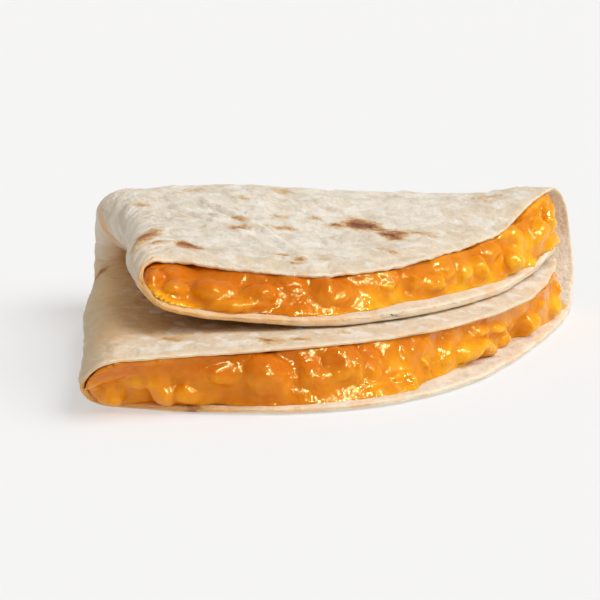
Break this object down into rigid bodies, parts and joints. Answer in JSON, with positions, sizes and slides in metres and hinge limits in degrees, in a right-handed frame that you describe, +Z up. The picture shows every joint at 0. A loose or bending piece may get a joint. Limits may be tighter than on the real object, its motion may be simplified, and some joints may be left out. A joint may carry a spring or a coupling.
{
  "type": "quesadilla",
  "caption": "Cheese quesadilla: a round flour tortilla folded in half and in half again, with melted cheese between its sheets.",
  "frame": {"origin": "middle of the underside of the bounding box, on the plane it rests on", "axes": "+Y runs from the open front to the second fold at the back, +X from the first fold on the left to the open right end, +Z up through the layers"},
  "size_m": [0.1038, 0.1058, 0.0276],
  "materials": {
    "tortilla": "matte, floury, with browned patches",
    "cheese_lower": "wet and glossy, melted",
    "cheese_upper": "wet and glossy, melted"
  },
  "bodies": {
    "root": {"tortilla": "tortilla", "cheese_lower": "cheese_lower", "cheese_upper": "cheese_upper"}
  },
  "joints": []
}
